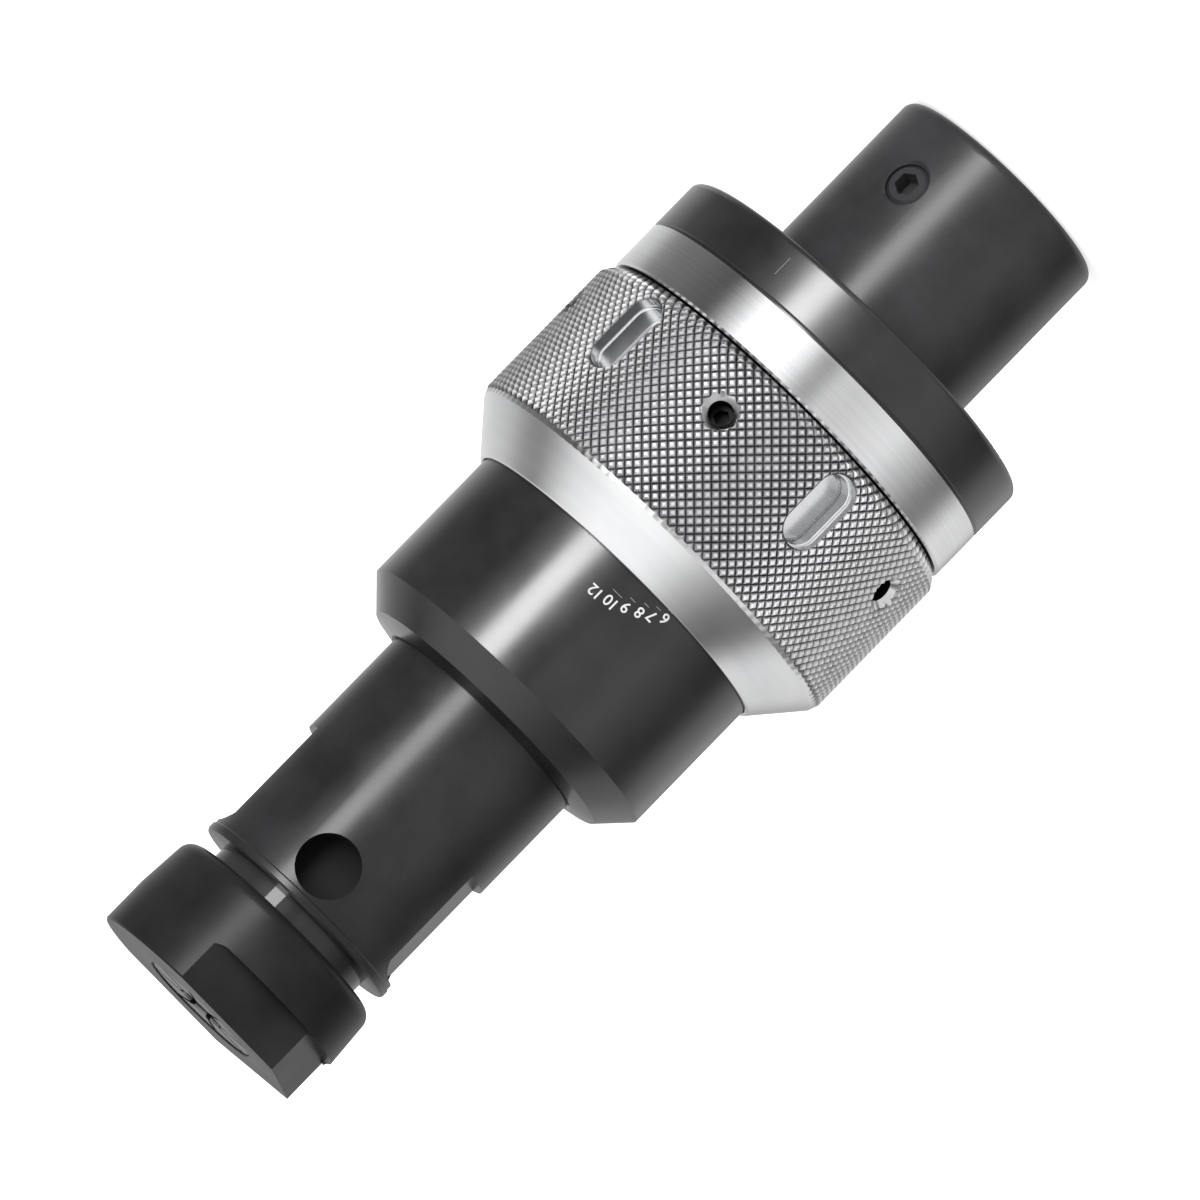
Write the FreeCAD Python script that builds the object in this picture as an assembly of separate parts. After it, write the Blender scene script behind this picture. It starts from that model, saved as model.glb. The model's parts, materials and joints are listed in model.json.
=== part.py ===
import FreeCAD, Part
import math
import os

# Torque-limiting collet chuck for taps.  Millimetres.  The axis is +Z: the arbor enters the shank at
# z = 0 and the collet nut is at the top.  Angles are in degrees about +Z, from +X.

# --- outside, from the shank end upwards ------------------------------------------------------------
SHANK_RADIUS = 16.5
FLANGE_RADIUS = 29.0
RING_RADIUS = 29.9
SLEEVE_RADIUS = 23.4
SLEEVE_NOSE_RADIUS = 19.6
BARREL_RADIUS = 15.5
NUT_RADIUS = 17.0

FLANGE_BACK = 27.6
FLANGE_FRONT = 35.4
RIM_FRONT = 42.7
RING_BACK = 42.9
RING_SHOULDER = 66.1
RING_FRONT = 73.0
SLEEVE_BACK = 66.0
SLEEVE_EDGE = 93.0
SLEEVE_NOSE = 97.0
SLEEVE_FRONT = 97.8
BARREL_BACK = 90.5
BARREL_FRONT = 132.5
NUT_BACK = 135.0
NUT_FRONT = 150.0

# --- shank and its fasteners ------------------------------------------------------------------------
ARBOR_RADIUS = 10.0
ARBOR_DEPTH = 24.0
SET_SCREW_RADIUS = 3.0
SET_SCREW_HEIGHT = 10.4
SET_SCREW_ANGLE = -55.3
SPIGOT_RADIUS = 14.0
SPIGOT_DEPTH = 2.5
BOLT_CIRCLE = 23.0
BOLT_COUNT = 4
BOLT_ANGLE = 45.0
BOLT_RADIUS = 2.5
BOLT_HEAD_RADIUS = 4.25
BOLT_HEAD_HEIGHT = 5.0
BOLT_SEAT = 33.0
BOLT_HOLE_FRONT = 41.9
DOWEL_COUNT = 2
DOWEL_RADIUS = 2.0
DOWEL_HOLE_BACK = 31.0
DOWEL_HOLE_FRONT = 39.6

# --- clutch body, torque spring and clutch ----------------------------------------------------------
NECK_RADIUS = 22.5
NECK_FRONT = 56.5
NECK_PITCH = 2.0
NECK_THREAD_DEPTH = 1.1
CORE_RADIUS = 12.5
CORE_BORE = 10.5
CORE_FRONT = 83.0
CORE_FLOOR = 36.5
CORE_SLOT_BACK = 60.0
CORE_SLOT_FLOOR = 10.9
CORE_SLOT_WIDTH = 4.0
CORE_SLOT_COUNT = 2
CIRCLIP_DEPTH = 0.6
CIRCLIP_GROOVE = 1.2
CIRCLIP_THICKNESS = 1.0
BALL_CIRCLE = 17.0
BALL_RADIUS = 3.0
BALL_HEIGHT = 81.0
BALL_COUNT = 6
BALL_ANGLE = 30.0
DETENT_COUNT = 12
CAGE_BACK = 78.4
CAGE_RADIUS = 21.15
PLATE_BACK = 75.4
PLATE_FRONT = 78.3
PLATE_RADIUS = 19.9
WASHER_BACK = 62.4
WASHER_FRONT = 64.4
DISC_COUNT = 5
DISC_THICKNESS = 1.0
DISC_INNER = 13.2
DISC_OUTER = 20.3

# --- adjusting ring ---------------------------------------------------------------------------------
WEB_BACK = 57.0
WEB_FRONT = 61.0
POCKET_COUNT = 5
POCKET_ANGLE = 29.3
POCKET_HEIGHT = 50.8
POCKET_LENGTH = 11.5
POCKET_WIDTH = 5.7
POCKET_STEP = 2.2
POCKET_LEDGE = 0.3
POCKET_FLOOR = 24.8
LOCK_SCREW_RADIUS = 1.7
LOCK_SCREW_ANGLE = POCKET_ANGLE + 180.0 / POCKET_COUNT
RING_BALL_RADIUS = 1.25
RING_BALL_COUNT = 18
RING_BALL_HEIGHT = 61.7

# --- driven hub and its bearings --------------------------------------------------------------------
HUB_BACK = 64.5
HUB_RADIUS = 20.5
JOURNAL_RADIUS = 9.0
HUB_FLANGE_BACK = 83.3
HUB_FLANGE_FRONT = 87.3
STEM_RADIUS = 6.5
RACE_INNER = 15.9
RACE_CIRCLE = 18.1
RACE_BALL_RADIUS = 1.45
RACE_BALL_COUNT = 24
RACE_BALL_HEIGHT = 90.05
SLEEVE_BORE = 20.7
SLEEVE_FLOOR = 92.6
SLEEVE_NOSE_BORE = 15.6
SLEEVE_CLIP_GROOVE = 22.2
SEAL_GROOVE = 17.35
SEAL_GROOVE_BACK = 94.75
SEAL_GROOVE_FRONT = 96.65
SEAL_SECTION = 0.85

# --- barrel, its float springs, collet and nut ------------------------------------------------------
STEM_BACK = 49.5
COLLAR_BACK = 46.0
COLLAR_RADIUS = 9.8
COLLAR_SCREW_RADIUS = 3.0
COLLAR_SCREW_HOLE_FRONT = 62.0
FLOAT_KEY_COUNT = 2
FLOAT_KEY_ANGLE = 90.0
FLOAT_KEY_WIDTH = 3.0
FLOAT_KEY_FLOOR = 4.7
FLOAT_KEY_BACK = 68.0
FLOAT_KEY_FRONT = 82.0
SPRING_WIRE = 0.8
SPRING_POCKET_RADIUS = 11.0
SPRING_POCKET_FLOOR = 98.5
BARREL_FLAT_BACK = 113.7
BARREL_FLAT_FRONT = 130.6
BARREL_FLAT_APOTHEM = 13.9
BARREL_FLAT_ANGLE = 6.0
BARREL_FLAT_COUNT = 2
SPANNER_HOLE_RADIUS = 4.35
SPANNER_HOLE_HEIGHT = 126.5
SPANNER_HOLE_ANGLE = -86.0
SPANNER_HOLE_FLOOR = 9.7
NOSE_RADIUS = 12.5
NOSE_FRONT = 143.5
NOSE_PITCH = 1.5
NOSE_THREAD_DEPTH = 0.8
COLLET_BACK = 118.5
COLLET_FRONT = 149.8
COLLET_RADIUS = 10.5
COLLET_WIDEST = 144.3
COLLET_SHOULDER = 146.4
COLLET_TAPER = math.tan(math.radians(8.0))
COLLET_BORE = 3.5
COLLET_SLITS = 8
SLIT_WIDTH = 0.8
NUT_FLAT_APOTHEM = 14.5
NUT_FLAT_BACK = 143.2
NUT_FLAT_ANGLES = (-165.5, -105.5, 74.5, 134.5)

# --- clearances, and how far a cutting shape runs past the metal it cuts ------------------------------
FIT = 0.05
SNUG = 0.02
LOOSE = 0.1
OVERRUN = 1.0

AXIS = FreeCAD.Vector(0, 0, 1)
ORIGIN = FreeCAD.Vector(0, 0, 0)


def turned(points):
    """A solid of revolution about the axis, from a closed outline of (radius, height) points."""
    corners = [FreeCAD.Vector(radius, 0, height) for radius, height in points]
    outline = Part.makePolygon(corners + corners[:1])
    return Part.Face(outline).revolve(ORIGIN, AXIS, 360)


def tube(outer, inner, back, front):
    return turned([(inner, back), (outer, back), (outer, front), (inner, front)])


def cylinder(radius, back, front, x=0.0, y=0.0):
    return Part.makeCylinder(radius, front - back, FreeCAD.Vector(x, y, back), AXIS)


def spun(shape, angle):
    """A copy of the shape, turned about the axis."""
    copy = shape.copy()
    copy.rotate(ORIGIN, AXIS, angle)
    return copy


def around(shape, count, first=0.0):
    return [spun(shape, first + index * 360.0 / count) for index in range(count)]


def radial(radius, start, end, height, tip_radius=None):
    """A round bar along +X at the given height, from one distance off the axis to another."""
    base = FreeCAD.Vector(start, 0, height)
    along = FreeCAD.Vector(1, 0, 0)
    if tip_radius is None:
        return Part.makeCylinder(radius, end - start, base, along)
    return Part.makeCone(radius, tip_radius, end - start, base, along)


def hexagon(across_flats, depth):
    """A hexagonal prism about +Z, standing on the origin."""
    corner = across_flats / math.sqrt(3.0)
    turns = [math.radians(60.0 * side) for side in range(7)]
    outline = [FreeCAD.Vector(corner * math.cos(turn), corner * math.sin(turn), 0) for turn in turns]
    return Part.Face(Part.makePolygon(outline)).extrude(FreeCAD.Vector(0, 0, depth))


def slab(length, width, back, front, x=0.0):
    """A box along the axis, from x outwards and centred on the XZ plane."""
    return Part.makeBox(length, width, front - back, FreeCAD.Vector(x, -width / 2.0, back))


def softened(shape, radius, height, size):
    """The shape with the round edges at one radius and height filleted."""
    edges = []
    for edge in shape.Edges:
        curve = edge.Curve
        if isinstance(curve, Part.Circle):
            same_height = abs(curve.Center.z - height) < 1e-4
            if same_height and abs(curve.Radius - radius) < 1e-4:
                edges.append(edge)
    return shape.makeFillet(size, edges)


def thread_outline(radius, pitch, depth, back, front):
    """Outline points of a thread's crests and roots, drawn as rings a pitch apart."""
    crest_end = 0.1
    root_start = 0.45
    points = []
    for turn in range(int((front - back) / pitch)):
        base = back + turn * pitch
        points.append((radius, base + crest_end * pitch))
        points.append((radius - depth, base + root_start * pitch))
        points.append((radius - depth, base + (1.0 - root_start) * pitch))
        points.append((radius, base + (1.0 - crest_end) * pitch))
    return points


def ball_groove(circle, radius, height):
    return Part.makeTorus(circle, radius, FreeCAD.Vector(0, 0, height), AXIS)


def ball(radius, circle, height):
    return Part.makeSphere(radius, FreeCAD.Vector(circle, 0, height))


def coil_spring(radius, wire, back, front, turns):
    """A round-wire coil spring that fills the height from back to front."""
    height = front - back - 2.0 * wire
    path = Part.makeHelix(height / turns, height, radius)
    path.translate(FreeCAD.Vector(0, 0, back + wire))
    start = FreeCAD.Vector(radius, 0, back + wire)
    section = Part.Wire([Part.makeCircle(wire, start, FreeCAD.Vector(0, 1, 0))])
    return Part.Wire(path.Edges).makePipeShell([section], True, True)


def collet_radius(height):
    """The collet's outside radius on its long taper."""
    return COLLET_RADIUS - (COLLET_WIDEST - height) * COLLET_TAPER


def save(node, shape):
    shape.exportStep("parts/" + node + ".step")


# --- drive body -------------------------------------------------------------------------------------
def drive_shank():
    """The hollow shank, with a reduced end that is pressed into the flange."""
    press_radius = SPIGOT_RADIUS - SNUG
    press_end = FLANGE_FRONT - SPIGOT_DEPTH
    vent_radius = 4.25
    mouth = 0.8
    edge = 0.25
    end_rounding = 1.5
    flare = 1.45
    flare_depth = 0.45
    shape = turned([
        (ARBOR_RADIUS + mouth, 0),
        (SHANK_RADIUS, 0),
        (SHANK_RADIUS, FLANGE_BACK - edge),
        (SHANK_RADIUS - edge, FLANGE_BACK),
        (press_radius, FLANGE_BACK),
        (press_radius, press_end),
        (vent_radius, press_end),
        (vent_radius, ARBOR_DEPTH),
        (ARBOR_RADIUS, ARBOR_DEPTH),
        (ARBOR_RADIUS, mouth),
    ])
    shape = softened(shape, SHANK_RADIUS, 0, end_rounding)
    hole_start = ARBOR_RADIUS - OVERRUN
    screw_hole = radial(SET_SCREW_RADIUS, hole_start, SHANK_RADIUS + OVERRUN, SET_SCREW_HEIGHT)
    rim = SHANK_RADIUS - flare_depth
    flared = radial(SET_SCREW_RADIUS, rim, rim + flare, SET_SCREW_HEIGHT, SET_SCREW_RADIUS + flare)
    return shape.cut(spun(screw_hole.fuse(flared), SET_SCREW_ANGLE))


def drive_flange():
    edge = 0.3
    rounding = 1.0
    bolt_room = 0.25
    head_room = 0.35
    shape = turned([
        (SPIGOT_RADIUS, FLANGE_BACK),
        (FLANGE_RADIUS, FLANGE_BACK),
        (FLANGE_RADIUS, FLANGE_FRONT - edge),
        (FLANGE_RADIUS - edge, FLANGE_FRONT),
        (SPIGOT_RADIUS, FLANGE_FRONT),
    ])
    shape = softened(shape, FLANGE_RADIUS, FLANGE_BACK, rounding)
    bolt_hole = cylinder(BOLT_RADIUS + bolt_room, FLANGE_BACK, FLANGE_FRONT, BOLT_CIRCLE)
    head_hole = cylinder(BOLT_HEAD_RADIUS + head_room, FLANGE_BACK, BOLT_SEAT, BOLT_CIRCLE)
    dowel_hole = cylinder(DOWEL_RADIUS, DOWEL_HOLE_BACK, FLANGE_FRONT, BOLT_CIRCLE)
    cuts = around(bolt_hole.fuse(head_hole), BOLT_COUNT, BOLT_ANGLE)
    return shape.cut(cuts + around(dowel_hole, DOWEL_COUNT))


def socketed(screw, end, across_flats, depth):
    """The screw with a hexagon socket sunk into the end that is at the given height."""
    socket = hexagon(across_flats, depth)
    socket.translate(FreeCAD.Vector(0, 0, end - depth))
    return screw.cut(socket)


def laid_out(screw, start, height):
    """An upright screw turned to lie along +X, starting at a distance off the axis."""
    screw.rotate(ORIGIN, FreeCAD.Vector(0, 1, 0), 90)
    screw.translate(FreeCAD.Vector(start, 0, height))
    return screw


def arbor_set_screw():
    start = ARBOR_RADIUS + 0.4
    length = SHANK_RADIUS - 0.35 - start
    body = SET_SCREW_RADIUS - FIT
    chamfer = 0.5
    tip_radius = 1.8
    tip_length = 1.0
    screw = turned([
        (0, 0),
        (tip_radius, 0),
        (body, tip_length),
        (body, length - chamfer),
        (body - chamfer, length),
        (0, length),
    ])
    screw = socketed(screw, length, across_flats=3.0, depth=2.6)
    return spun(laid_out(screw, start, SET_SCREW_HEIGHT), SET_SCREW_ANGLE)


def flange_screws():
    head_back = BOLT_SEAT - BOLT_HEAD_HEIGHT
    tip_room = 0.9
    socket = hexagon(across_flats=4.0, depth=2.5)
    socket.translate(FreeCAD.Vector(BOLT_CIRCLE, 0, head_back))
    head = cylinder(BOLT_HEAD_RADIUS, head_back, BOLT_SEAT, BOLT_CIRCLE)
    screw = head.fuse(cylinder(BOLT_RADIUS - FIT, BOLT_SEAT, BOLT_HOLE_FRONT - tip_room, BOLT_CIRCLE))
    return Part.makeCompound(around(screw.cut(socket), BOLT_COUNT, BOLT_ANGLE))


def drive_dowels():
    room = 0.2
    dowel = cylinder(DOWEL_RADIUS - SNUG, DOWEL_HOLE_BACK + room, DOWEL_HOLE_FRONT - room, BOLT_CIRCLE)
    return Part.makeCompound(around(dowel, DOWEL_COUNT))


def clutch_body():
    """The bright rim with a threaded neck for the ring and a slotted core for the clutch."""
    edge = 0.3
    spigot_back = FLANGE_FRONT - SPIGOT_DEPTH + 0.3
    clip_back = CORE_FRONT - CIRCLIP_GROOVE
    clip_front = CORE_FRONT - LOOSE
    relief = NECK_RADIUS - NECK_THREAD_DEPTH
    relief_front = RIM_FRONT + 0.8
    thread_back = relief_front + LOOSE
    thread_chamfer = 0.5
    thread_front = NECK_FRONT - thread_chamfer
    shape = turned(
        [
            (0, spigot_back),
            (SPIGOT_RADIUS - FIT, spigot_back),
            (SPIGOT_RADIUS - FIT, FLANGE_FRONT),
            (FLANGE_RADIUS - edge, FLANGE_FRONT),
            (FLANGE_RADIUS, FLANGE_FRONT + edge),
            (FLANGE_RADIUS, RIM_FRONT - edge),
            (FLANGE_RADIUS - edge, RIM_FRONT),
            (relief, RIM_FRONT),
            (relief, relief_front),
            (NECK_RADIUS, thread_back),
        ]
        + thread_outline(NECK_RADIUS, NECK_PITCH, NECK_THREAD_DEPTH, thread_back, thread_front)
        + [
            (NECK_RADIUS, thread_front),
            (NECK_RADIUS - thread_chamfer, NECK_FRONT),
            (CORE_RADIUS, NECK_FRONT),
            (CORE_RADIUS, clip_back),
            (CORE_RADIUS - CIRCLIP_DEPTH, clip_back),
            (CORE_RADIUS - CIRCLIP_DEPTH, clip_front),
            (CORE_RADIUS, clip_front),
            (CORE_RADIUS, CORE_FRONT),
            (CORE_BORE, CORE_FRONT),
            (CORE_BORE, CORE_FLOOR),
            (0, CORE_FLOOR),
        ]
    )
    slot_front = CORE_FRONT + OVERRUN
    slot = slab(CORE_RADIUS, CORE_SLOT_WIDTH, CORE_SLOT_BACK, slot_front, CORE_SLOT_FLOOR)
    bolt_hole = cylinder(BOLT_RADIUS, FLANGE_FRONT, BOLT_HOLE_FRONT, BOLT_CIRCLE)
    dowel_hole = cylinder(DOWEL_RADIUS, FLANGE_FRONT, DOWEL_HOLE_FRONT, BOLT_CIRCLE)
    cuts = around(slot, CORE_SLOT_COUNT)
    cuts += around(bolt_hole, BOLT_COUNT, BOLT_ANGLE)
    cuts += around(dowel_hole, DOWEL_COUNT)
    return shape.cut(cuts)


def ball_cage():
    """The plate that carries the balls round, recessed for the retaining ring in front."""
    lip = CORE_FRONT - CIRCLIP_GROOVE
    recess = 13.9
    shape = turned([
        (CORE_RADIUS + FIT, CAGE_BACK),
        (CAGE_RADIUS, CAGE_BACK),
        (CAGE_RADIUS, CORE_FRONT),
        (recess, CORE_FRONT),
        (recess, lip),
        (CORE_RADIUS + FIT, lip),
    ])
    below = CAGE_BACK - OVERRUN
    keyway = slab(3.0, CORE_SLOT_WIDTH, below, lip, CORE_SLOT_FLOOR - 0.4)
    ball_hole = cylinder(BALL_RADIUS + FIT, below, CORE_FRONT + OVERRUN, BALL_CIRCLE)
    return shape.cut(around(keyway, CORE_SLOT_COUNT) + around(ball_hole, BALL_COUNT, BALL_ANGLE))


def cage_keys():
    length = 2.45
    back = CAGE_BACK + FIT
    front = CORE_FRONT - CIRCLIP_GROOVE - LOOSE
    key = slab(length, CORE_SLOT_WIDTH - 3.0 * SNUG, back, front, CORE_SLOT_FLOOR + SNUG)
    return Part.makeCompound(around(key, CORE_SLOT_COUNT))


def split_ring(outer, inner, back, gap):
    """A retaining ring with a gap, centred on +Y."""
    front = back + CIRCLIP_THICKNESS
    opening = slab(outer + OVERRUN, gap, back - OVERRUN, front + OVERRUN)
    return tube(outer, inner, back, front).cut(spun(opening, 90))


def core_circlip():
    inner = CORE_RADIUS - CIRCLIP_DEPTH + SNUG
    return split_ring(13.7, inner, CORE_FRONT - CIRCLIP_GROOVE + FIT, gap=4.0)


def sleeve_circlip():
    return split_ring(SLEEVE_CLIP_GROOVE - FIT, 20.2, CAGE_BACK - CIRCLIP_GROOVE + FIT, gap=8.0)


def clutch_balls():
    one = ball(BALL_RADIUS, BALL_CIRCLE, BALL_HEIGHT)
    return Part.makeCompound(around(one, BALL_COUNT, BALL_ANGLE))


def pressure_plate():
    plate = tube(PLATE_RADIUS, CORE_RADIUS + 0.3, PLATE_BACK, PLATE_FRONT)
    return plate.cut(ball_groove(BALL_CIRCLE, BALL_RADIUS + FIT, BALL_HEIGHT))


def disc_springs():
    """Cone washers stacked face to face and back to back, between the washer and the plate."""
    pitch = (PLATE_BACK - WASHER_FRONT) / DISC_COUNT
    lean = pitch - DISC_THICKNESS - 2.0 * SNUG
    discs = []
    for index in range(DISC_COUNT):
        base = WASHER_FRONT + index * pitch + SNUG
        inner_lift = lean if index % 2 else 0.0
        outer_lift = lean - inner_lift
        discs.append(turned([
            (DISC_INNER, base + inner_lift),
            (DISC_OUTER, base + outer_lift),
            (DISC_OUTER, base + outer_lift + DISC_THICKNESS),
            (DISC_INNER, base + inner_lift + DISC_THICKNESS),
        ]))
    return Part.makeCompound(discs)


def scale_sleeve():
    """The black sleeve, which keeps the cage, the hub and its thrust bearing together."""
    cage_bore = CAGE_RADIUS + FIT
    cage_front = CORE_FRONT + SNUG
    mouth = 0.5
    edge = 0.3
    nose_edge = 0.4
    clip_back = CAGE_BACK - CIRCLIP_GROOVE
    return turned([
        (cage_bore + mouth, SLEEVE_BACK),
        (SLEEVE_RADIUS - edge, SLEEVE_BACK),
        (SLEEVE_RADIUS, SLEEVE_BACK + edge),
        (SLEEVE_RADIUS, SLEEVE_EDGE),
        (SLEEVE_NOSE_RADIUS, SLEEVE_NOSE),
        (SLEEVE_NOSE_BORE + nose_edge, SLEEVE_FRONT),
        (SLEEVE_NOSE_BORE, SLEEVE_FRONT - nose_edge),
        (SLEEVE_NOSE_BORE, SEAL_GROOVE_FRONT),
        (SEAL_GROOVE, SEAL_GROOVE_FRONT),
        (SEAL_GROOVE, SEAL_GROOVE_BACK),
        (SLEEVE_NOSE_BORE, SEAL_GROOVE_BACK),
        (SLEEVE_NOSE_BORE, SLEEVE_FLOOR),
        (SLEEVE_BORE, SLEEVE_FLOOR),
        (SLEEVE_BORE, cage_front),
        (cage_bore, cage_front),
        (cage_bore, CAGE_BACK),
        (SLEEVE_CLIP_GROOVE, CAGE_BACK),
        (SLEEVE_CLIP_GROOVE, clip_back),
        (cage_bore, clip_back),
        (cage_bore, SLEEVE_BACK + mouth),
    ])


def barrel_seal():
    middle = (SEAL_GROOVE_BACK + SEAL_GROOVE_FRONT) / 2.0
    return ball_groove(BARREL_RADIUS + 3.0 * SNUG + SEAL_SECTION, SEAL_SECTION, middle)


def pilot_bush(back, front):
    return tube(CORE_BORE - SNUG, JOURNAL_RADIUS + FIT, back, front)


def thrust_race_front():
    race = tube(SLEEVE_BORE - LOOSE, RACE_INNER, 91.3, SLEEVE_FLOOR - SNUG)
    return race.cut(ball_groove(RACE_CIRCLE, RACE_BALL_RADIUS + FIT, RACE_BALL_HEIGHT))


def hub_thrust_balls():
    one = ball(RACE_BALL_RADIUS, RACE_CIRCLE, RACE_BALL_HEIGHT)
    return Part.makeCompound(around(one, RACE_BALL_COUNT))


# --- torque adjuster --------------------------------------------------------------------------------
def spring_washer():
    """The washer that turns with the core: two tabs on its bore run in the core's slots."""
    tab_length = 2.4
    tab_width = CORE_SLOT_WIDTH - LOOSE
    washer = tube(20.8, CORE_RADIUS + 0.5, WASHER_BACK, WASHER_FRONT)
    tab = slab(tab_length, tab_width, WASHER_BACK, WASHER_FRONT, CORE_SLOT_FLOOR + LOOSE)
    washer = washer.fuse(around(tab, CORE_SLOT_COUNT))
    return washer.cut(ball_groove(BALL_CIRCLE, RING_BALL_RADIUS + FIT, RING_BALL_HEIGHT))


def ring_thrust_balls():
    one = ball(RING_BALL_RADIUS, BALL_CIRCLE, RING_BALL_HEIGHT)
    return Part.makeCompound(around(one, RING_BALL_COUNT))


def spanner_pocket(length, width, floor):
    """An upright slot with round ends, cut inwards to the floor's distance off the axis."""
    straight = length - width
    depth = RING_RADIUS + OVERRUN - floor
    low = POCKET_HEIGHT - straight / 2.0
    high = POCKET_HEIGHT + straight / 2.0
    middle = slab(depth, width, low, high, floor)
    ends = [radial(width / 2.0, floor, floor + depth, height) for height in (low, high)]
    return middle.fuse(ends)


def adjusting_ring():
    """The knurled ring, threaded on the clutch body, with a web that pushes the thrust balls."""
    shoulder = 1.2
    shoulder_length = 1.8
    land = 0.5
    bore = NECK_RADIUS + FIT
    web_bore = CORE_RADIUS + 0.5
    skirt_bore = SLEEVE_RADIUS + LOOSE
    flare = 1.0
    flare_depth = 0.7
    shape = turned([
        (bore, RING_BACK),
        (RING_RADIUS - shoulder, RING_BACK),
        (RING_RADIUS, RING_BACK + shoulder_length),
        (RING_RADIUS, RING_SHOULDER),
        (skirt_bore + land, RING_FRONT),
        (skirt_bore, RING_FRONT),
        (skirt_bore, WEB_FRONT),
        (web_bore, WEB_FRONT),
        (web_bore, WEB_BACK),
        (bore, WEB_BACK),
    ])
    ledge = 2.0 * POCKET_LEDGE
    pocket = spanner_pocket(POCKET_LENGTH, POCKET_WIDTH, RING_RADIUS - POCKET_STEP)
    pocket = pocket.fuse(spanner_pocket(POCKET_LENGTH - ledge, POCKET_WIDTH - ledge, POCKET_FLOOR))
    hole_start = NECK_RADIUS - OVERRUN
    screw_hole = radial(LOCK_SCREW_RADIUS, hole_start, RING_RADIUS + OVERRUN, POCKET_HEIGHT)
    rim = RING_RADIUS - flare_depth
    flared = radial(LOCK_SCREW_RADIUS, rim, rim + flare, POCKET_HEIGHT, LOCK_SCREW_RADIUS + flare)
    cuts = around(pocket, POCKET_COUNT, POCKET_ANGLE)
    cuts += around(screw_hole.fuse(flared), POCKET_COUNT, LOCK_SCREW_ANGLE)
    cuts.append(ball_groove(BALL_CIRCLE, RING_BALL_RADIUS + FIT, RING_BALL_HEIGHT))
    return shape.cut(cuts)


def ring_lock_screws():
    length = 3.2
    screw = cylinder(LOCK_SCREW_RADIUS - FIT, 0, length)
    screw = socketed(screw, length, across_flats=2.0, depth=1.8)
    screw = laid_out(screw, NECK_RADIUS + 0.3, POCKET_HEIGHT)
    return Part.makeCompound(around(screw, POCKET_COUNT, LOCK_SCREW_ANGLE))


# --- driven hub -------------------------------------------------------------------------------------
def driven_hub():
    """The flanged hub: its journal turns in the bushes and its flange has the detents."""
    bore = STEM_RADIUS + FIT
    shape = turned([
        (bore, HUB_BACK),
        (JOURNAL_RADIUS, HUB_BACK),
        (JOURNAL_RADIUS, HUB_FLANGE_BACK),
        (HUB_RADIUS, HUB_FLANGE_BACK),
        (HUB_RADIUS, HUB_FLANGE_FRONT),
        (bore, HUB_FLANGE_FRONT),
    ])
    back = HUB_BACK - OVERRUN
    front = HUB_FLANGE_FRONT + OVERRUN
    keyway = slab(2.9, FLOAT_KEY_WIDTH + LOOSE, back, front, 5.0)
    detent = ball(BALL_RADIUS + LOOSE, BALL_CIRCLE, BALL_HEIGHT)
    cuts = around(keyway, FLOAT_KEY_COUNT, FLOAT_KEY_ANGLE)
    return shape.cut(cuts + around(detent, DETENT_COUNT))


def thrust_race_rear():
    race = tube(20.4, RACE_INNER, HUB_FLANGE_FRONT, 88.8)
    return race.cut(ball_groove(RACE_CIRCLE, RACE_BALL_RADIUS + FIT, RACE_BALL_HEIGHT))


# --- barrel and its float ---------------------------------------------------------------------------
def flat_cutter(apothem, half_width, back, front, corner):
    """A block whose inner face is the flat, with the corners at its back end rounded."""
    thickness = 10.0
    start = FreeCAD.Vector(apothem, -half_width, back)
    block = Part.makeBox(thickness, 2.0 * half_width, front - back, start)
    edges = []
    for edge in block.Edges:
        low = min(vertex.Z for vertex in edge.Vertexes)
        high = max(vertex.Z for vertex in edge.Vertexes)
        across = edge.Vertexes[0].X != edge.Vertexes[1].X
        if across and low == high and abs(low - back) < 1e-6:
            edges.append(edge)
    return block.makeFillet(corner, edges)


def upside_down(shape, middle):
    """The shape turned over about a height, so that its back end faces forwards."""
    copy = shape.copy()
    copy.rotate(FreeCAD.Vector(0, 0, middle), FreeCAD.Vector(1, 0, 0), 180)
    return copy


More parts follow.
